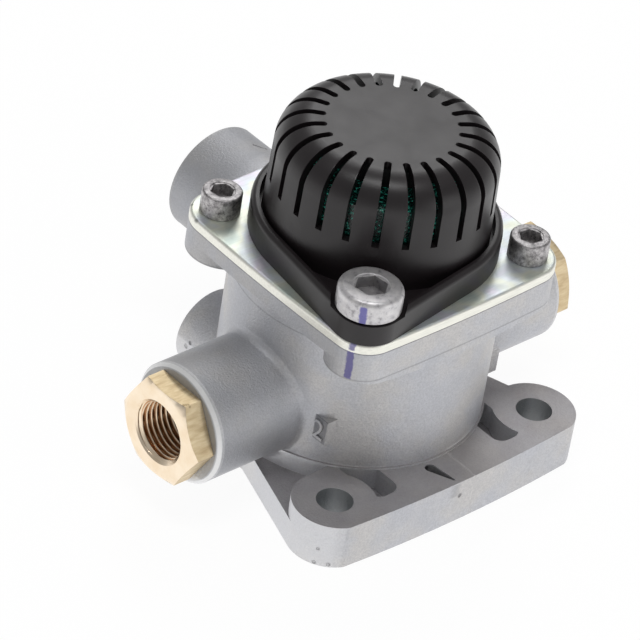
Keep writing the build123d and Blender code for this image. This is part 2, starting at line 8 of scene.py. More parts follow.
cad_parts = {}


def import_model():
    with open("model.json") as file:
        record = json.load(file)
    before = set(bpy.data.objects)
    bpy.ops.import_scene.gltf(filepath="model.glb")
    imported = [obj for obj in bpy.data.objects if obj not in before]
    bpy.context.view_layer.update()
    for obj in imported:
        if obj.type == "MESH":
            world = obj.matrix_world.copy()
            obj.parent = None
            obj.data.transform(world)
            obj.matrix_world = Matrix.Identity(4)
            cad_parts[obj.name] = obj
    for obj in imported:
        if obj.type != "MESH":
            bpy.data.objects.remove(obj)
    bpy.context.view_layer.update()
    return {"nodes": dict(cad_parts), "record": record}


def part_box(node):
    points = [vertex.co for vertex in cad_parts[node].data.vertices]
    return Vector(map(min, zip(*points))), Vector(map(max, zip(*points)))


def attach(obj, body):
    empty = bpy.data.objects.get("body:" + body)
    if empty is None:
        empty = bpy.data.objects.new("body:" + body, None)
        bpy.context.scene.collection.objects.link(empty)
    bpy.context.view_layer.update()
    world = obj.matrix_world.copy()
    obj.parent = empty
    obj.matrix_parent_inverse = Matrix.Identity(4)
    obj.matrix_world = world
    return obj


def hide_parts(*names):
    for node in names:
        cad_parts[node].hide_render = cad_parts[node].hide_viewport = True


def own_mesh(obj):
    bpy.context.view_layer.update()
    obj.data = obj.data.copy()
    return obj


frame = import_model()

# Sizes below are in millimetres and become metres through mm.
mm = 0.001
print("frame loaded")


def boxMm(node):
    low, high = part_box(node)
    return low / mm, high / mm


# Places that every piece shares, read from the frame
plateLow, plateHigh = boxMm("cover_plate")
capScrewLow, capScrewHigh = boxMm("cap_screws")
coverScrewLow, coverScrewHigh = boxMm("cover_screws")
leftLow, leftHigh = boxMm("port_adapter_left")
rightLow, rightHigh = boxMm("port_adapter_right")
portZ = (leftLow.z + leftHigh.z) / 2
boltPlace = Vector((33.2, -32.9))
boltRadius = 4.5
capScrewPlace = capScrewHigh.x - 8
coverScrewPlace = coverScrewHigh.x - 5


# Small helpers

def hexColour(code):
    # sRGB hex to the linear colour that shaders take
    parts = [int(code[i:i + 2], 16) / 255 for i in (1, 3, 5)]
    return [c / 12.92 if c <= 0.04045 else ((c + 0.055) / 1.055) ** 2.4 for c in parts] + [1]


def add(tree, kind, inputs=None, **settings):
    made = tree.nodes.new(kind)
    for key, value in settings.items():
        setattr(made, key, value)
    for key, value in (inputs or {}).items():
        if isinstance(value, bpy.types.NodeSocket):
            tree.links.new(value, made.inputs[key])
        else:
            made.inputs[key].default_value = value
    return made


def ramp(tree, value, stops, interpolation="LINEAR"):
    made = add(tree, "ShaderNodeValToRGB", {"Fac": value})
    made.color_ramp.interpolation = interpolation
    while len(made.color_ramp.elements) < len(stops):
        made.color_ramp.elements.new(0.5)
    for element, (place, colour) in zip(made.color_ramp.elements, stops):
        element.position = place
        element.color = hexColour(colour) if isinstance(colour, str) else [colour] * 3 + [1]
    return made.outputs["Color"]


def noise(tree, where, period, detail=3, roughness=0.55, offset=0):
    # period is the size of one blotch in mm
    moved = add(tree, "ShaderNodeMapping", {"Vector": where, "Location": (offset, offset, offset)})
    made = add(tree, "ShaderNodeTexNoise",
               {"Vector": moved.outputs[0], "Scale": 1 / period, "Detail": detail, "Roughness": roughness})
    return made.outputs["Fac"]


def maths(tree, operation, first, second=None, clamp=False):
    inputs = {0: first}
    if second is not None:
        inputs[1] = second
    return add(tree, "ShaderNodeMath", inputs, operation=operation, use_clamp=clamp).outputs[0]


def between(tree, value, low, high, soft):
    # 1 between low and high, falling to 0 over soft
    rise = add(tree, "ShaderNodeMapRange",
               {"Value": value, "From Min": low - soft, "From Max": low + soft}).outputs[0]
    fall = add(tree, "ShaderNodeMapRange",
               {"Value": value, "From Min": high - soft, "From Max": high + soft, "To Min": 1, "To Max": 0}).outputs[0]
    return maths(tree, "MULTIPLY", rise, fall)


def mix(tree, share, first, second):
    made = add(tree, "ShaderNodeMix", data_type="RGBA", clamp_factor=True)
    for socket, value in ((made.inputs[0], share), (made.inputs[6], first), (made.inputs[7], second)):
        if isinstance(value, bpy.types.NodeSocket):
            tree.links.new(value, socket)
        else:
            socket.default_value = hexColour(value) if isinstance(value, str) else value
    return made.outputs[2]


def newMaterial(name, **settings):
    material = bpy.data.materials.new(name)
    material.use_nodes = True
    tree = material.node_tree
    shader = tree.nodes["Principled BSDF"]
    for key, value in settings.items():
        socket = shader.inputs[key.replace("_", " ")]
        socket.default_value = hexColour(value) if isinstance(value, str) else value
    # Object coordinates in millimetres, so that every pattern has a real size
    place = add(tree, "ShaderNodeTexCoord").outputs["Object"]
    where = add(tree, "ShaderNodeVectorMath", {0: place, 1: (1 / mm, 1 / mm, 1 / mm)}, operation="MULTIPLY")
    return material, tree, shader, where.outputs[0]


def bump(tree, shader, height, depth, strength=1.0):
    # depth in mm
    made = add(tree, "ShaderNodeBump", {"Height": height, "Distance": depth * mm, "Strength": strength})
    tree.links.new(made.outputs[0], shader.inputs["Normal"])
    return made


def split(tree, where):
    return add(tree, "ShaderNodeSeparateXYZ", {0: where}).outputs


# Materials

paint = dict(colour="#6a62ad", side=-1, centre=capScrewPlace)


def paintMask(tree, where, radius, angle, lean, width, low, high):
    # a brushed stripe up a round corner: angle in degrees at low, leaning by lean degrees at high
    x, y, z = split(tree, where)
    fromX = maths(tree, "ADD", x, paint["centre"])
    fromY = maths(tree, "ADD", y, paint["centre"])
    turn = maths(tree, "ARCTAN2", fromY, fromX)
    course = add(tree, "ShaderNodeMapRange",
                 {"Value": z, "From Min": low, "From Max": high,
                  "To Min": math.radians(angle), "To Max": math.radians(angle + lean)}).outputs[0]
    ragged = maths(tree, "MULTIPLY", maths(tree, "SUBTRACT", noise(tree, where, 1.1), 0.5), 0.12)
    away = maths(tree, "ADD", maths(tree, "SUBTRACT", turn, course), ragged)
    half = width / 2 / radius
    across = between(tree, away, -half, half, 0.02)
    along = between(tree, maths(tree, "ADD", z, maths(tree, "MULTIPLY", ragged, 6)), low, high, 0.15)
    return maths(tree, "MULTIPLY", across, along)


def spot(tree, where, place, size):
    # 1 at a point, 0 beyond size mm
    away = add(tree, "ShaderNodeVectorMath", {0: where, 1: place}, operation="DISTANCE").outputs["Value"]
    return add(tree, "ShaderNodeMapRange",
               {"Value": away, "From Min": size * 0.4, "From Max": size, "To Min": 1, "To Max": 0}).outputs[0]


def track(tree, where, points, size):
    # 1 along a chain of points, with a spot between each two
    made = None
    for first, second in zip(points, points[1:]):
        for share in (0.0, 0.5):
            place = tuple(a + (b - a) * share for a, b in zip(first, second))
            here = spot(tree, where, place, size)
            made = maths(tree, "MAXIMUM", made, here) if made else here
    return made


def castAluminium():
    # Pressure die cast aluminium, shot blasted: a fine even grain, soft grey with bluish and warm areas
    material, tree, shader, where = newMaterial("shotBlastedAluminium", Metallic=0.8, Roughness=0.57)
    x, y, z = split(tree, where)
    blotch = noise(tree, where, 14, detail=4)
    colour = ramp(tree, blotch, [(0.38, "#c8c9ce"), (0.5, "#cccccf"), (0.62, "#d0cecd")])
    cloud = noise(tree, where, 3.5, detail=5, roughness=0.65, offset=7)
    colour = mix(tree, ramp(tree, cloud, [(0.35, 0.0), (0.7, 0.1)]), colour, "#96989c")
    speckle = noise(tree, where, 0.5, detail=3, roughness=0.7, offset=5)
    colour = mix(tree, ramp(tree, speckle, [(0.4, 0.25), (0.6, 0.0)]), colour, "#8f9095")
    # The upward faces of the base are painted a darker brown-grey: painted shade, partly the casting's skin.
    normal = add(tree, "ShaderNodeNewGeometry").outputs["Normal"]
    upward = ramp(tree, split(tree, normal)[2], [(0.55, 0.0), (0.9, 1.0)])
    low = between(tree, z, -1, 13, 0.3)
    skinAndPaintedShade = maths(tree, "MULTIPLY", maths(tree, "MULTIPLY", upward, low), 0.6)
    skinAndShadeColour = ramp(tree, noise(tree, where, 9, offset=3), [(0.35, "#8f898a"), (0.65, "#a19c9c")])
    colour = mix(tree, skinAndPaintedShade, colour, skinAndShadeColour)
    # Turned faces of the ports and the milled flange top are lighter.
    turned = maths(tree, "GREATER_THAN", maths(tree, "ABSOLUTE", x), 55.8)
    rearTurned = maths(tree, "GREATER_THAN", y, 55.3)
    turned = maths(tree, "MAXIMUM", turned, rearTurned)
    colour = mix(tree, maths(tree, "MULTIPLY", turned, 0.6), colour, "#cdcdcb")
    # Shade collects in the bolt holes, the drain groove and the joint under the plate.
    across = maths(tree, "SUBTRACT", maths(tree, "ABSOLUTE", x), boltPlace.x)
    deep = maths(tree, "SUBTRACT", y, boltPlace.y)
    off = add(tree, "ShaderNodeCombineXYZ", {0: across, 1: deep}).outputs[0]
    off = add(tree, "ShaderNodeVectorMath", {0: off}, operation="LENGTH").outputs["Value"]
    shade = maths(tree, "MULTIPLY", maths(tree, "LESS_THAN", off, boltRadius + 0.15), maths(tree, "LESS_THAN", z, 12.1))
    colour = mix(tree, maths(tree, "MULTIPLY", shade, 0.75), colour, "#6d7375")
    fromAbove = add(tree, "ShaderNodeCombineXYZ", {0: x, 1: y}).outputs[0]
    groove = track(tree, fromAbove, ((-4.9, -36.0, 0), (-4.0, -39.3, 0), (-3.0, -42.7, 0)), 3.8)
    groove = maths(tree, "MULTIPLY", groove, between(tree, z, 8.0, 11.8, 0.1))
    groove = maths(tree, "MULTIPLY", groove, ramp(tree, noise(tree, where, 0.8, detail=4, offset=1), [(0.5, 1.0), (0.75, 0.5)]))
    colour = mix(tree, maths(tree, "MULTIPLY", groove, 0.85), colour, "#2c292d")
    joint = between(tree, z, plateLow.z - 0.3, plateLow.z + 0.5, 0.08)
    colour = mix(tree, maths(tree, "MULTIPLY", joint, 0.6), colour, "#4f4f52")
    # A thin line of painted shade runs under the front of the flange.
    flangeEdgeShade = maths(tree, "MULTIPLY", between(tree, z, 47.6, 47.95, 0.15), maths(tree, "LESS_THAN", y, 30.0))
    colour = mix(tree, maths(tree, "MULTIPLY", flangeEdgeShade, 0.45), colour, "#6f6f72")
    stripe = paintMask(tree, where, 8.4, -151.0, -1.0, 1.75, 47.9, 56.2)
    colour = mix(tree, stripe, colour, paint["colour"])
    # The face that carries the number is painted darker than the raised number: painted shade, partly dirt.
    padShade = maths(tree, "MULTIPLY", between(tree, x, -28.58, -28.3, 0.06), between(tree, z, 19.4, 26.4, 0.2))
    padShade = maths(tree, "MULTIPLY", padShade, between(tree, y, -22.1, -16.5, 0.2))
    colour = mix(tree, maths(tree, "MULTIPLY", padShade, 0.65), colour, "#6b6b70")
    pits = spot(tree, where, (-24.8, 32.8, 11.8), 0.75)
    for place, size in (((-24.6, 31.7, 13.4), 0.6), ((-42.2, -38.5, 5.0), 0.5), ((-42.4, -38.1, 0.7), 0.6),
                        ((-40.2, -40.8, 0.9), 0.6), ((-1.7, -44.3, 7.9), 0.75)):
        pits = maths(tree, "MAXIMUM", pits, spot(tree, where, place, size))
    colour = mix(tree, maths(tree, "MULTIPLY", pits, 0.6), colour, "#4c4c4e")
    # A crack-like flow line crosses the supply boss, and a tool step the top of the front bar.
    crack = track(tree, where, ((2.5, 46.9, 54.5), (3.1, 46.0, 54.3), (4.2, 45.3, 53.9), (5.6, 44.5, 53.3)), 0.42)
    colour = mix(tree, maths(tree, "MULTIPLY", crack, 0.75), colour, "#46464a")
    step = add(tree, "ShaderNodeMapRange", {"Value": x, "From Min": 2.6, "From Max": 2.95}).outputs[0]
    step = maths(tree, "MULTIPLY", step, maths(tree, "LESS_THAN", y, -30.0))
    step = maths(tree, "MULTIPLY", step, low)
    # A painted highlight runs along the step's edge.
    stepHighlight = maths(tree, "MULTIPLY", between(tree, x, 2.3, 2.9, 0.2), maths(tree, "LESS_THAN", y, -30.0))
    colour = mix(tree, maths(tree, "MULTIPLY", maths(tree, "MULTIPLY", stepHighlight, low), 0.3), colour, "#d4d1d1")
    # The left and rear bosses are painted darker than the tower: painted shade. The left-facing walls of the base are
    # painted lighter: painted light.
    outer = add(tree, "ShaderNodeMapRange", {"Value": x, "From Min": -29, "From Max": -37}).outputs[0]
    rear = add(tree, "ShaderNodeMapRange", {"Value": y, "From Min": 37, "From Max": 43}).outputs[0]
    bossShade = maths(tree, "MULTIPLY", maths(tree, "MAXIMUM", outer, rear), between(tree, z, 14, 70, 2))
    colour = mix(tree, maths(tree, "MULTIPLY", bossShade, 0.5), colour, "#96979b")
    # The turned rims at the ends of the side bosses carry a painted highlight, near white.
    upZ = maths(tree, "SUBTRACT", z, portZ)
    reach = add(tree, "ShaderNodeMath",
                {0: maths(tree, "ADD", maths(tree, "POWER", y, 2.0), maths(tree, "POWER", upZ, 2.0))}, operation="SQRT")
    rim = maths(tree, "MULTIPLY", between(tree, reach.outputs[0], 14.5, 15.36, 0.1),
                maths(tree, "GREATER_THAN", maths(tree, "ABSOLUTE", x), 55.0))
    colour = mix(tree, maths(tree, "MULTIPLY", rim, 0.8), colour, "#f2f2f2")
    # Painted light on the left-facing walls of the base, less of it in the bolt holes.
    leftWallLight = ramp(tree, maths(tree, "MULTIPLY", split(tree, normal)[0], -1.0), [(0.3, 0.0), (0.7, 0.5)])
    leftWallLight = maths(tree, "MULTIPLY", leftWallLight, maths(tree, "SUBTRACT", 1.0, maths(tree, "MULTIPLY", shade, 0.6)))
    colour = mix(tree, maths(tree, "MULTIPLY", leftWallLight, low), colour, "#ececee")
    tree.links.new(colour, shader.inputs["Base Color"])
    tree.links.new(maths(tree, "MULTIPLY", maths(tree, "SUBTRACT", 1.0, stripe), 0.8), shader.inputs["Metallic"])
    grain = noise(tree, where, 0.55, detail=2, roughness=0.7)
    swell = noise(tree, where, 5, detail=2, offset=11)
    height = maths(tree, "ADD", grain, maths(tree, "MULTIPLY", swell, 0.8))
    height = maths(tree, "SUBTRACT", height, maths(tree, "MULTIPLY", maths(tree, "MAXIMUM", pits, crack), 3))
    height = maths(tree, "ADD", height, maths(tree, "MULTIPLY", step, 1.6))
    bump(tree, shader, height, 0.16)
    return material


def zincPlate():
    # Steel plate with clear-passivated zinc: bright, with faint green, yellow and lilac tints
    material, tree, shader, where = newMaterial("passivatedZinc", Roughness=0.45)
    tint = noise(tree, where, 11, detail=2)
    colour = ramp(tree, tint, [(0.3, "#c6d2cb"), (0.43, "#dcdfd1"), (0.52, "#d2d9dd"), (0.6, "#d8d3e0"), (0.7, "#dadcca")])
    # Edges that turn away from the top are painted pale: a painted highlight on the rolled edge.
    normal = add(tree, "ShaderNodeNewGeometry").outputs["Normal"]
    edge = ramp(tree, split(tree, normal)[2], [(0.6, 1.0), (0.97, 0.0)])
    colour = mix(tree, edge, colour, "#f0efe6")
    streak = add(tree, "ShaderNodeMapping", {"Vector": where, "Scale": (0.08, 1, 1), "Rotation": (0, 0, 0.7)}).outputs[0]
    rolled = noise(tree, streak, 0.5, detail=3)
    colour = mix(tree, ramp(tree, rolled, [(0.45, 0.0), (0.8, 0.25)]), colour, "#9fa39f")
    nicks = maths(tree, "MAXIMUM", spot(tree, where, (-31.1, 31.9, 58.2), 0.8),
                  spot(tree, where, (-34.2, 26.3, 58.0), 0.9))
    stripe = paintMask(tree, where, 8.4, -152.5, 3.0, 1.5, 56.2, 58.8)
    colour = mix(tree, maths(tree, "MULTIPLY", nicks, 0.6), colour, "#5c5d5c")
    colour = mix(tree, maths(tree, "MULTIPLY", stripe, 0.75), colour, paint["colour"])
    tree.links.new(colour, shader.inputs["Base Color"])
    tree.links.new(ramp(tree, noise(tree, where, 4, offset=5), [(0.3, 0.39), (0.7, 0.49)]), shader.inputs["Roughness"])
    bare = maths(tree, "SUBTRACT", 1.0, stripe)
    tree.links.new(maths(tree, "MULTIPLY", bare, 0.8), shader.inputs["Metallic"])
    bump(tree, shader, maths(tree, "ADD", rolled, maths(tree, "MULTIPLY", noise(tree, where, 6), 2)), 0.015)
    return material


def screwZinc():
    # Cold headed steel, zinc flake coated: matt light grey, with dark specks
    material, tree, shader, where = newMaterial("zincFlakeSteel", Metallic=0.75, Roughness=0.42)
    colour = ramp(tree, noise(tree, where, 1.6, detail=5), [(0.3, "#9c9a9d"), (0.42, "#c6c4c6"), (0.7, "#dad8d8")])
    specks = ramp(tree, noise(tree, where, 0.5, detail=2, offset=9), [(0.64, 0.0), (0.74, 0.4)])
    colour = mix(tree, specks, colour, "#5d5a5c")
    # The key sockets are painted darker than the head: painted shade in the recess.
    x, y, z = split(tree, where)
    across = maths(tree, "SUBTRACT", maths(tree, "ABSOLUTE", x), capScrewPlace)
    deep = maths(tree, "SUBTRACT", maths(tree, "ABSOLUTE", y), capScrewPlace)
    off = add(tree, "ShaderNodeCombineXYZ", {0: across, 1: deep}).outputs[0]
    off = add(tree, "ShaderNodeVectorMath", {0: off}, operation="LENGTH").outputs["Value"]
    key = maths(tree, "MULTIPLY", maths(tree, "LESS_THAN", off, 4.15), maths(tree, "LESS_THAN", z, capScrewHigh.z - 0.3))
    colour = mix(tree, maths(tree, "MULTIPLY", key, 0.55), colour, "#5a5759")
    stripe = paintMask(tree, where, 8.0, -142.5, -1.0, 1.7, 63.9, 68.7)
    colour = mix(tree, maths(tree, "MULTIPLY", stripe, 0.85), colour, "#6b68bd")
    tree.links.new(colour, shader.inputs["Base Color"])
    tree.links.new(maths(tree, "MULTIPLY", maths(tree, "SUBTRACT", 1.0, stripe), 0.75), shader.inputs["Metallic"])
    bump(tree, shader, noise(tree, where, 0.7, detail=4), 0.05)
    return material


def screwDark():
    # Phosphated and zinc coated steel: dark grey, mottled and speckled
    material, tree, shader, where = newMaterial("mottledZincSteel", Metallic=0.8, Roughness=0.38)
    colour = ramp(tree, noise(tree, where, 1.3, detail=5, roughness=0.7),
                  [(0.3, "#565455"), (0.47, "#989596"), (0.7, "#d0cdcd")])
    specks = ramp(tree, noise(tree, where, 0.45, detail=2, offset=4), [(0.6, 0.0), (0.72, 0.7)])
    colour = mix(tree, specks, colour, "#2b292a")
    # Upward faces of the head are painted darker: painted shade.
    normal = add(tree, "ShaderNodeNewGeometry").outputs["Normal"]
    upward = ramp(tree, split(tree, normal)[2], [(0.7, 0.0), (0.95, 0.35)])
    colour = mix(tree, upward, colour, "#6f6d6e")
    tree.links.new(colour, shader.inputs["Base Color"])
    bump(tree, shader, noise(tree, where, 0.6, detail=4), 0.06)
    return material


def blackPlastic():
    # Glass-filled nylon moulding: satin black with a soft sheen
    material, tree, shader, where = newMaterial("satinBlackNylon", Metallic=0.0, Roughness=0.36, Specular_IOR_Level=0.45)
    colour = ramp(tree, noise(tree, where, 8, detail=3), [(0.35, "#191416"), (0.65, "#1f1a1c")])
    tree.links.new(colour, shader.inputs["Base Color"])
    rough = ramp(tree, noise(tree, where, 5, detail=4, offset=2), [(0.3, 0.34), (0.7, 0.39)])
    tree.links.new(rough, shader.inputs["Roughness"])
    bump(tree, shader, noise(tree, where, 0.35, detail=2), 0.012)
    return material


def brass():
    # Turned free-machining brass: cream face with lathe rings, drawn golden flats, painted brown shade in the thread's
    # grooves
    material, tree, shader, where = newMaterial("turnedBrass", Metallic=1.0, Roughness=0.3)
    x, y, z = split(tree, where)
    upZ = maths(tree, "SUBTRACT", z, portZ)
    reach = add(tree, "ShaderNodeMath",
                {0: maths(tree, "ADD", maths(tree, "POWER", y, 2.0), maths(tree, "POWER", upZ, 2.0))}, operation="SQRT")
    reach = reach.outputs[0]
    normal = add(tree, "ShaderNodeNewGeometry").outputs["Normal"]
    face = ramp(tree, maths(tree, "ABSOLUTE", split(tree, normal)[0]), [(0.45, 0.0), (0.6, 1.0)])
    drawn = maths(tree, "MULTIPLY", maths(tree, "SUBTRACT", 1.0, face), maths(tree, "GREATER_THAN", reach, 10.6))
    colour = ramp(tree, noise(tree, where, 4, detail=4), [(0.35, "#e8d4b8"), (0.65, "#efdfc8")])
    lengthways = add(tree, "ShaderNodeMapping", {"Vector": where, "Scale": (0.25, 1, 1)}).outputs[0]
    stained = noise(tree, lengthways, 1.2, detail=5, offset=6)
    golden = ramp(tree, stained, [(0.3, "#bfa986"), (0.5, "#d2bf9c"), (0.7, "#dfcfae")])
    colour = mix(tree, drawn, colour, golden)
    # The thread's grooves past the mouth are painted brown: painted shade between the crests.
    deep = add(tree, "ShaderNodeMapRange", {"Value": reach, "From Min": 7.3, "From Max": 7.6}).outputs[0]
    boreShade = maths(tree, "LESS_THAN", reach, 8.15)
    boreShade = maths(tree, "MULTIPLY", boreShade, maths(tree, "LESS_THAN", maths(tree, "ABSOLUTE", x), -leftLow.x - 1.2))
    colour = mix(tree, maths(tree, "MULTIPLY", deep, boreShade), colour, "#b08058")
    notch = track(tree, where, ((-61.6, -6.2, 34.7), (-60.6, -6.6, 34.6), (-60.4, -7.3, 34.1)), 0.5)
    colour = mix(tree, maths(tree, "MULTIPLY", notch, 0.6), colour, "#6d5632")
    tree.links.new(colour, shader.inputs["Base Color"])
    tree.links.new(add(tree, "ShaderNodeMapRange", {"Value": drawn, "To Min": 0.3, "To Max": 0.5}).outputs[0],
                   shader.inputs["Roughness"])
    rings = maths(tree, "SINE", maths(tree, "MULTIPLY", reach, 2 * math.pi / 0.35))
    height = maths(tree, "ADD", maths(tree, "MULTIPLY", rings, maths(tree, "MULTIPLY", face, 0.25)),
                   maths(tree, "MULTIPLY", stained, maths(tree, "ADD", drawn, 0.3)))
    bump(tree, shader, height, 0.012)
    return material


def rubber():
    # Nitrile rubber: black, matt
    material, tree, shader, where = newMaterial("nitrileRubber", Roughness=0.6, Metallic=0.0)
    colour = ramp(tree, noise(tree, where, 2), [(0.3, "#161616"), (0.7, "#1f1f1f")])
    tree.links.new(colour, shader.inputs["Base Color"])
    bump(tree, shader, noise(tree, where, 0.4), 0.02)
    return material


def springSteel():
    # Drawn spring wire: grey with fine lines
    material, tree, shader, where = newMaterial("drawnSpringWire", Metallic=1.0, Roughness=0.35)
    colour = ramp(tree, noise(tree, where, 1), [(0.3, "#77787a"), (0.7, "#9b9b9c")])
    tree.links.new(colour, shader.inputs["Base Color"])
    bump(tree, shader, noise(tree, where, 0.3), 0.01)
    return material


def turnedAluminium():
    # Turned aluminium: bright grey with lathe rings about the body axis
    material, tree, shader, where = newMaterial("turnedAluminium", Metallic=1.0, Roughness=0.3)
    x, y, z = split(tree, where)
    reach = add(tree, "ShaderNodeMath",
                {0: maths(tree, "ADD", maths(tree, "POWER", x, 2.0), maths(tree, "POWER", y, 2.0))}, operation="SQRT")
    rings = maths(tree, "SINE", maths(tree, "MULTIPLY", reach.outputs[0], 2 * math.pi / 0.4))
    colour = ramp(tree, noise(tree, where, 6), [(0.3, "#b9babb"), (0.7, "#cfcfce")])
    tree.links.new(colour, shader.inputs["Base Color"])
    bump(tree, shader, rings, 0.01)
    return material


def filterFibre():
    # Knitted filament: teal green, glossy, catching points of light
    material, tree, shader, where = newMaterial("tealFilament", Metallic=0.0, Roughness=0.18)
    colour = ramp(tree, noise(tree, where, 0.8, detail=3), [(0.42, "#041413"), (0.56, "#0c453c"), (0.66, "#46b8a2")])
    tree.links.new(colour, shader.inputs["Base Color"])
    bump(tree, shader, noise(tree, where, 0.5), 0.1)
    return material


materials = {
    "cast_aluminium": castAluminium(),
    "zinc_plated_plate": zincPlate(),
    "zinc_screw": screwZinc(),
    "dark_screw": screwDark(),
    "black_plastic": blackPlastic(),
    "brass": brass(),
    "rubber": rubber(),
    "spring_steel": springSteel(),
    "turned_aluminium": turnedAluminium(),
    "filter_mesh": filterFibre(),
}
slotOf = {part["node"]: part["material_slot"] for part in frame["record"]["subparts"]}
for name, node in frame["nodes"].items():
    node.data.materials.clear()
    node.data.materials.append(materials[slotOf[name]])
print("materials made")


# Piece helpers

def newObject(name, mesh):
    made = bpy.data.objects.new(name, mesh)
    bpy.context.scene.collection.objects.link(made)
    return made


def finished(made, smoothAngle=35):
    # modifiers become the mesh; faces shade smooth up to the angle, or as they are where there is none
    graph = bpy.context.evaluated_depsgraph_get()
    mesh = bpy.data.meshes.new_from_object(made.evaluated_get(graph))
    made.modifiers.clear()
    made.data = mesh
    if smoothAngle:
        mesh.set_sharp_from_angle(angle=math.radians(smoothAngle))
        for face in mesh.polygons:
            face.use_smooth = True
    return made


def standsFor(piece, node, body="housing"):
    piece.data.materials.clear()
    piece.data.materials.append(materials[slotOf[node]])
    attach(piece, body)
    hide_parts(node)


def softEdged(node, name, width, segments=3, angle=30):
    # the node's own form with its edges rounded, as cast or moulded
    mesh = frame["nodes"][node].data.copy()
    shape = bmesh.new()
    shape.from_mesh(mesh)
    bmesh.ops.remove_doubles(shape, verts=shape.verts, dist=0.002 * mm)
    bmesh.ops.dissolve_limit(shape, angle_limit=math.radians(0.4), verts=shape.verts, edges=shape.edges)
    shape.to_mesh(mesh)
    shape.free()
    for face in mesh.polygons:
        face.use_smooth = True
    made = newObject(name, mesh)
    bevel = made.modifiers.new("edges", "BEVEL")
    bevel.width = width * mm
    bevel.segments = segments
    bevel.limit_method = "ANGLE"
    bevel.angle_limit = math.radians(angle)
    bevel.use_clamp_overlap = True
    weighted = made.modifiers.new("shading", "WEIGHTED_NORMAL")
    weighted.mode = "FACE_AREA"
    weighted.weight = 80
    return finished(made, smoothAngle=None)


def hexRadius(flats, turn):
    # distance to a hexagon's edge in the direction turn
    sixth = math.pi / 3
    return flats / 2 / math.cos((turn + sixth / 2) % sixth - sixth / 2)


def latheMesh(name, rows, steps, place, closed=True):
    # rows of (height, radius), where the radius, and the height if need be, is a function of the turn
    shape = bmesh.new()
    loops = []
    for height, radius in rows:
        loop = []
        for step in range(steps):
            turn = 2 * math.pi * step / steps
            loop.append(shape.verts.new(place(radius(turn), turn, height(turn) if callable(height) else height)))
        loops.append(loop)
    for low, high in zip(loops, loops[1:]):
        for step in range(steps):
            after = (step + 1) % steps
            shape.faces.new((low[step], low[after], high[after], high[step]))
    if closed:
        shape.faces.new(loops[0][::-1])
        shape.faces.new(loops[-1])
    bmesh.ops.remove_doubles(shape, verts=shape.verts, dist=0.0005 * mm)
    bmesh.ops.recalc_face_normals(shape, faces=shape.faces)
    mesh = bpy.data.meshes.new(name)
    shape.to_mesh(mesh)
    shape.free()
    return mesh


# Housing
housing = softEdged("housing", "castHousing", width=0.55)
standsFor(housing, "housing")
print("housing made")

# Silencer cap
cap = softEdged("silencer_cap", "slottedCap", width=0.28, segments=2, angle=32)
standsFor(cap, "silencer_cap")
print("cap made")


def closingSpring():
    piece = newObject("closingSpring", frame["nodes"]["valve_spring"].data.copy())
    standsFor(piece, "valve_spring")
    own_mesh(piece)


closingSpring()
print("spring made")

# Filter filaments: loops of wire thickness scattered over the knitted ring behind the slots
filament = dict(count=2300, loop=1.0, thickness=0.13, inset=0.65, tilt=0.35, sweep=250, seed=4)
filterLow, filterHigh = boxMm("silencer_filter")


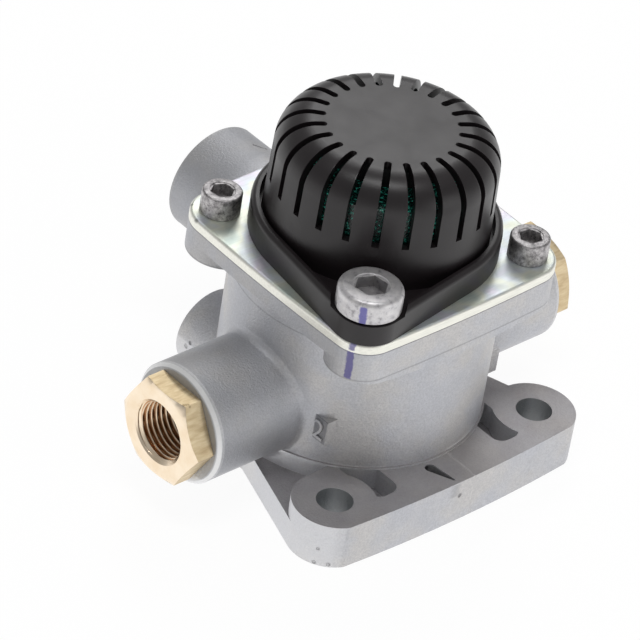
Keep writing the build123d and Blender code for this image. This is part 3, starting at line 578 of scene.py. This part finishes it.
def filaments():
    tree = bpy.data.node_groups.new("filterFilamentScatter", "GeometryNodeTree")
    tree.interface.new_socket("Geometry", in_out="INPUT", socket_type="NodeSocketGeometry")
    sizes = {"Radius": filterHigh.x - filament["inset"], "Low": filterLow.z + 1, "High": filterHigh.z - 1,
             "Loop": filament["loop"], "Thickness": filament["thickness"]}
    for name in sizes:
        tree.interface.new_socket(name, in_out="INPUT", socket_type="NodeSocketFloat")
    tree.interface.new_socket("Geometry", in_out="OUTPUT", socket_type="NodeSocketGeometry")
    entry = add(tree, "NodeGroupInput").outputs

    def chance(low, high, step):
        made = add(tree, "FunctionNodeRandomValue", data_type="FLOAT")
        for socket, value in ((made.inputs[2], low), (made.inputs[3], high)):
            if isinstance(value, bpy.types.NodeSocket):
                tree.links.new(value, socket)
            else:
                socket.default_value = value
        made.inputs["Seed"].default_value = filament["seed"] + step
        return made.outputs[1]

    turn = chance(0.0, 2 * math.pi, 0)
    across = maths(tree, "MULTIPLY", maths(tree, "COSINE", turn), entry["Radius"])
    along = maths(tree, "MULTIPLY", maths(tree, "SINE", turn), entry["Radius"])
    place = add(tree, "ShaderNodeCombineXYZ", {0: across, 1: along, 2: chance(entry["Low"], entry["High"], 1)})
    points = add(tree, "GeometryNodePoints", {"Count": filament["count"], "Position": place.outputs[0]})
    arc = add(tree, "GeometryNodeCurveArc", {"Resolution": 9, "Radius": entry["Loop"],
                                             "Sweep Angle": math.radians(filament["sweep"])})
    ring = add(tree, "GeometryNodeCurvePrimitiveCircle", {"Resolution": 4, "Radius": entry["Thickness"]})
    wire = add(tree, "GeometryNodeCurveToMesh", {"Curve": arc.outputs["Curve"], "Profile Curve": ring.outputs["Curve"],
                                                 "Fill Caps": True})
    lean = maths(tree, "ADD", chance(-filament["tilt"], filament["tilt"], 2), math.pi / 2)
    facing = maths(tree, "ADD", maths(tree, "ADD", turn, math.pi / 2), chance(-filament["tilt"], filament["tilt"], 4))
    angles = add(tree, "ShaderNodeCombineXYZ", {0: lean, 1: chance(-math.pi, math.pi, 3), 2: facing})
    placed = add(tree, "GeometryNodeInstanceOnPoints", {"Points": points.outputs[0], "Instance": wire.outputs[0],
                                                        "Rotation": angles.outputs[0]})
    real = add(tree, "GeometryNodeRealizeInstances", {"Geometry": placed.outputs[0]})
    coated = add(tree, "GeometryNodeSetMaterial", {"Geometry": real.outputs[0], "Material": materials["filter_mesh"]})
    leave = add(tree, "NodeGroupOutput")
    tree.links.new(coated.outputs[0], leave.inputs[0])
    piece = newObject("filterFilaments", bpy.data.meshes.new("filterFilaments"))
    modifier = piece.modifiers.new("scatter", "NODES")
    modifier.node_group = tree
    for item in tree.interface.items_tree:
        if item.in_out == "INPUT" and item.name in sizes:
            modifier[item.identifier] = sizes[item.name] * mm
    finished(piece, smoothAngle=60)
    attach(piece, "housing")


filaments()
print("filter filaments made")

# Brass adapters with a real thread in the mouth
adapter = dict(flats=24.0, hexLength=6.0, chamfer=1.2, chamferRadius=11.7, mouthRadius=8.45, mouthDepth=1.1,
               minorRadius=7.25, majorRadius=8.0, pitch=1.5, maleLength=9.0, maleRadius=10.2, steps=144)


def adapterMesh(name, side, faceX, hexTurn):
    a = adapter
    slope = (a["flats"] / 2 / math.cos(math.pi / 6) + 0.3 - a["chamferRadius"]) / a["chamfer"]

    def hexAt(turn):
        return hexRadius(a["flats"], turn - hexTurn - math.pi / 6)

    def coneMeetsHex(turn):
        return (hexAt(turn) - a["chamferRadius"]) / slope

    def threadAt(depth):
        def radius(turn):
            phase = (depth / a["pitch"] + side * turn / (2 * math.pi)) % 1
            groove = min(1, max(0, 1.35 - abs(phase - 0.5) * 3.1))
            deep = a["minorRadius"] + (a["majorRadius"] - a["minorRadius"]) * groove
            mouth = a["mouthRadius"] - depth
            return max(deep, mouth) if depth < a["mouthDepth"] * 1.4 else deep
        return radius

    length = a["hexLength"] + a["maleLength"]
    rows = []
    threadRows = int(length / a["pitch"] * 12)
    for row in range(threadRows, -1, -1):
        depth = length * row / threadRows
        rows.append((depth, threadAt(depth)))
    rows.append((0, lambda turn: a["mouthRadius"]))
    rows.append((0, lambda turn: a["mouthRadius"] + 0.3))
    rows.append((0, lambda turn: a["chamferRadius"] - 0.1))
    rows.append((0.02, lambda turn: a["chamferRadius"]))
    rows.append((lambda turn: coneMeetsHex(turn) * 0.96, lambda turn: a["chamferRadius"] + coneMeetsHex(turn) * 0.96 * slope))
    rows.append((lambda turn: coneMeetsHex(turn) + 0.04, hexAt))
    rows.append((a["chamfer"] + 0.2, hexAt))
    rows.append((a["hexLength"] - 0.15, hexAt))
    rows.append((a["hexLength"], lambda turn: hexAt(turn) - 0.15))
    rows.append((a["hexLength"], lambda turn: a["maleRadius"] - 0.8))
    rows.append((a["hexLength"] + 1.6, lambda turn: a["maleRadius"] - 0.8))
    rows.append((a["hexLength"] + 1.6, lambda turn: a["maleRadius"]))
    rows.append((length - 0.8, lambda turn: a["maleRadius"]))
    rows.append((length, lambda turn: a["maleRadius"] - 0.8))
    rows.append((length, threadAt(length)))

    def place(radius, turn, depth):
        return Vector((faceX - side * depth, radius * math.cos(turn), portZ + radius * math.sin(turn))) * mm
    return latheMesh(name, rows, a["steps"], place, closed=False)


for name, node, side, faceX, turn in (
    ("brassAdapterLeft", "port_adapter_left", -1, leftLow.x, 0),
    ("brassAdapterRight", "port_adapter_right", 1, rightHigh.x, math.radians(13)),
):
    piece = finished(newObject(name, adapterMesh(name, side, faceX, turn)), smoothAngle=28)
    standsFor(piece, node)
print("adapters made")


# Socket head screws: one profile, set out by Geometry Nodes
capScrew = dict(headRadius=8.0, headHeight=6.0, edge=1.7, socket=7.0, socketDepth=3.3, dish=0.2, rim=0.45, shank=5.0)
coverScrew = dict(headRadius=5.0, headHeight=6.0, edge=0.6, socket=5.0, socketDepth=3.3, dish=0.15, rim=0.35, shank=3.0)


def screwMesh(name, s, length):
    r = s["headRadius"]
    h = s["headHeight"]
    e = s["edge"]
    rows = [(-length, lambda turn: s["shank"] * 0.8), (-length + 1, lambda turn: s["shank"]),
            (0, lambda turn: s["shank"]), (0, lambda turn: r - 0.2), (0.2, lambda turn: r), (h * 0.5, lambda turn: r)]
    for part in range(7):
        lean = math.pi / 2 * part / 6
        radius = r - e * (1 - math.cos(lean)) * 0.9
        rows.append((h - e + e * math.sin(lean), lambda turn, radius=radius: radius))
    inside = s["socket"] / 2 / math.cos(math.pi / 6)
    rows.append((h, lambda turn: inside + s["rim"]))
    rows.append((h - s["dish"], lambda turn: inside + s["rim"] * 0.6))
    rows.append((h - s["dish"] - 0.05, lambda turn: hexRadius(s["socket"], turn) + 0.12))
    rows.append((h - s["dish"] - 0.3, lambda turn: hexRadius(s["socket"], turn)))
    rows.append((h - s["socketDepth"], lambda turn: hexRadius(s["socket"], turn)))
    rows.append((h - s["socketDepth"], lambda turn: inside * 0.7))
    rows.append((h - s["socketDepth"] - 0.6, lambda turn: 0.2))

    def place(radius, turn, height):
        return Vector((radius * math.cos(turn), radius * math.sin(turn), height)) * mm
    return latheMesh(name, rows, 96, place)


def screwLayout(name, mesh, spots, turns, material):
    # a point at each screw's seat, with a turn of its own
    points = bpy.data.meshes.new(name + "Points")
    points.from_pydata([Vector(spot) * mm for spot in spots], [], [])
    turnData = points.attributes.new("turn", "FLOAT", "POINT")
    turnData.data.foreach_set("value", turns)
    holder = newObject(name, points)
    master = newObject(name + "Master", mesh)
    tree = bpy.data.node_groups.new(name + "Layout", "GeometryNodeTree")
    tree.interface.new_socket("Points", in_out="INPUT", socket_type="NodeSocketGeometry")
    tree.interface.new_socket("Screw", in_out="INPUT", socket_type="NodeSocketObject")
    tree.interface.new_socket("Geometry", in_out="OUTPUT", socket_type="NodeSocketGeometry")
    entry = add(tree, "NodeGroupInput")
    info = add(tree, "GeometryNodeObjectInfo", {"Object": entry.outputs["Screw"]})
    turn = add(tree, "GeometryNodeInputNamedAttribute", {"Name": "turn"}, data_type="FLOAT")
    angles = add(tree, "ShaderNodeCombineXYZ", {"Z": turn.outputs["Attribute"]})
    placed = add(tree, "GeometryNodeInstanceOnPoints",
                 {"Points": entry.outputs["Points"], "Instance": info.outputs["Geometry"],
                  "Rotation": angles.outputs[0]})
    real = add(tree, "GeometryNodeRealizeInstances", {"Geometry": placed.outputs[0]})
    coated = add(tree, "GeometryNodeSetMaterial", {"Geometry": real.outputs[0], "Material": material})
    leave = add(tree, "NodeGroupOutput")
    tree.links.new(coated.outputs[0], leave.inputs[0])
    modifier = holder.modifiers.new("layout", "NODES")
    modifier.node_group = tree
    modifier[[s.identifier for s in tree.interface.items_tree if s.name == "Screw"][0]] = master
    finished(holder, smoothAngle=30)
    bpy.data.objects.remove(master)
    return holder


capPlace = capScrewPlace
capSpots = [(-capPlace, -capPlace, capScrewHigh.z - 6), (capPlace, capPlace, capScrewHigh.z - 6)]
capScrews = screwLayout("lowHeadScrews", screwMesh("lowHead", capScrew, capScrewHigh.z - 6 - capScrewLow.z), capSpots,
                        [math.radians(8), math.radians(33)], materials["zinc_screw"])
standsFor(capScrews, "cap_screws")
coverPlace = coverScrewPlace
coverSpots = [(-coverPlace, coverPlace, plateHigh.z), (coverPlace, -coverPlace, plateHigh.z)]
coverScrews = screwLayout("coverHeadScrews", screwMesh("coverHead", coverScrew, plateHigh.z - coverScrewLow.z),
                          coverSpots, [math.radians(5), math.radians(25)], materials["dark_screw"])
standsFor(coverScrews, "cover_screws")
print("screws made")


# Port number on the pad beside the left port
numeral = dict(text="2", height=5.6, relief=0.45, y=-19.6, low=20.2)


def portNumber():
    curve = bpy.data.curves.new("portNumber", "FONT")
    curve.body = numeral["text"]
    curve.size = numeral["height"] * mm * 1.35
    curve.extrude = numeral["relief"] * mm
    curve.align_x = "CENTER"
    made = newObject("portNumber", curve)
    graph = bpy.context.evaluated_depsgraph_get()
    mesh = bpy.data.meshes.new_from_object(made.evaluated_get(graph))
    bpy.data.objects.remove(made)
    padX = -28.5
    turn = Matrix(((0, 0, -1, padX * mm), (-1, 0, 0, numeral["y"] * mm), (0, 1, 0, numeral["low"] * mm), (0, 0, 0, 1)))
    mesh.transform(turn)
    piece = finished(newObject("portNumberRelief", mesh))
    piece.data.materials.clear()
    piece.data.materials.append(materials["cast_aluminium"])
    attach(piece, "housing")


portNumber()
print("number made")


# Studio: floor, soft lamps, white surroundings and the camera
studio = dict(skyByHeight=[(0.0, 0.62), (0.3, 0.42), (0.62, 0.36), (0.95, 0.44)], floorColour="#f4f4f4", floorSeen=1.03,
              floorInMetal=1.25, keyPower=1.2, rimPower=1.7, backPower=1.0, stripPower=2.1, stripLength=0.5,
              stripWidth=0.03)


def floor():
    mesh = bpy.data.meshes.new("floor")
    size = 3.0
    under = -0.05 * mm
    mesh.from_pydata([(-size, -size, under), (size, -size, under), (size, size, under), (-size, size, under)], [],
                     [(0, 1, 2, 3)])
    made = newObject("floor", mesh)
    material = bpy.data.materials.new("paleFloor")
    material.use_nodes = True
    tree = material.node_tree
    tree.nodes.clear()
    # Camera rays see white, dimmed only where the object keeps light off.
    diffuse = add(tree, "ShaderNodeBsdfDiffuse", {"Color": hexColour(studio["floorColour"])})
    path = add(tree, "ShaderNodeLightPath")
    inMirror = maths(tree, "MAXIMUM", path.outputs["Is Glossy Ray"], path.outputs["Is Transmission Ray"])
    strength = add(tree, "ShaderNodeMix", {0: inMirror, 2: studio["floorSeen"], 3: studio["floorInMetal"]}, data_type="FLOAT").outputs[0]
    glow = add(tree, "ShaderNodeEmission", {"Color": (1, 1, 1, 1), "Strength": strength})
    seen = maths(tree, "MAXIMUM", path.outputs["Is Camera Ray"], inMirror)
    share = maths(tree, "MULTIPLY", seen, 0.9)
    both = add(tree, "ShaderNodeMixShader", {0: share, 1: diffuse.outputs[0], 2: glow.outputs[0]})
    # From below it lets the view through.
    below = add(tree, "ShaderNodeNewGeometry").outputs["Backfacing"]
    clear = add(tree, "ShaderNodeBsdfTransparent")
    both = add(tree, "ShaderNodeMixShader", {0: below, 1: both.outputs[0], 2: clear.outputs[0]})
    leave = add(tree, "ShaderNodeOutputMaterial")
    tree.links.new(both.outputs[0], leave.inputs[0])
    mesh.materials.append(material)


def world():
    made = bpy.data.worlds.new("studio")
    bpy.context.scene.world = made
    made.use_nodes = True
    tree = made.node_tree
    tree.nodes.clear()
    way = add(tree, "ShaderNodeTexCoord").outputs["Generated"]
    light = ramp(tree, split(tree, way)[2], studio["skyByHeight"])
    path = add(tree, "ShaderNodeLightPath")
    white = add(tree, "ShaderNodeBackground", {"Color": (1, 1, 1, 1), "Strength": 1.0})
    soft = add(tree, "ShaderNodeBackground", {"Color": (1, 1, 1, 1), "Strength": light})
    both = add(tree, "ShaderNodeMixShader",
               {0: path.outputs["Is Camera Ray"], 1: soft.outputs[0], 2: white.outputs[0]})
    leave = add(tree, "ShaderNodeOutputWorld")
    tree.links.new(both.outputs[0], leave.inputs[0])


def lamp(name, place, target, size, power):
    data = bpy.data.lights.new(name, "AREA")
    data.shape = "DISK"
    data.size = size
    data.energy = power
    made = newObject(name, data)
    made.location = place
    made.rotation_mode = "QUATERNION"
    made.rotation_quaternion = (Vector(target) - Vector(place)).to_track_quat("-Z", "Y")
    return made


def stripLamp(azimuth, elevation, away, target):
    # a long narrow lamp over the object, level and square to the camera's view
    course = Vector((math.sin(azimuth) * math.cos(elevation), -math.cos(azimuth) * math.cos(elevation),
                     math.sin(elevation)))
    right = Vector((math.cos(azimuth), math.sin(azimuth), 0))
    made = lamp("strip", Vector(target) + course * away, target, studio["stripLength"], studio["stripPower"])
    made.data.shape = "RECTANGLE"
    made.data.size_y = studio["stripWidth"]
    made.rotation_quaternion = Matrix((right, course.cross(right), course)).transposed().to_quaternion()


def camera():
    # fitted to the photograph: looking down at the front-left corner with a long lens
    azimuth, elevation, roll = math.radians(-47.58), math.radians(36.70), math.radians(9.95)
    back = Vector((math.sin(azimuth) * math.cos(elevation), -math.cos(azimuth) * math.cos(elevation),
                   math.sin(elevation)))
    right = Vector((math.cos(azimuth), math.sin(azimuth), 0))
    up = back.cross(right)
    rolledRight = right * math.cos(roll) + up * math.sin(roll)
    rolledUp = up * math.cos(roll) - right * math.sin(roll)
    data = bpy.data.cameras.new("camera")
    data.sensor_width = 36
    data.lens = 255.6
    data.shift_x = -0.0518
    data.shift_y = 0.0456
    data.clip_start = 0.05
    data.clip_end = 20
    made = newObject("camera", data)
    place = Vector((0, 0, 22.6)) * mm + back * 1.1173
    matrix = Matrix((rolledRight, rolledUp, back)).transposed().to_4x4()
    matrix.translation = place
    made.matrix_world = matrix
    bpy.context.scene.camera = made


floor()
world()
lamp("key", (0.35, -1.0, 0.25), (0, 0, 0.03), 0.6, studio["keyPower"])
lamp("rim", (0.5, 0.6, 0.9), (0, 0, 0.05), 0.5, studio["rimPower"])
lamp("back", (0.74, 0.67, 0.83), (0, 0, 0.08), 0.45, studio["backPower"])
stripLamp(math.radians(-47.6), math.radians(78), 0.85, (0, 0, 0.08))
camera()
bpy.context.scene.view_settings.view_transform = "Standard"
print("studio made")
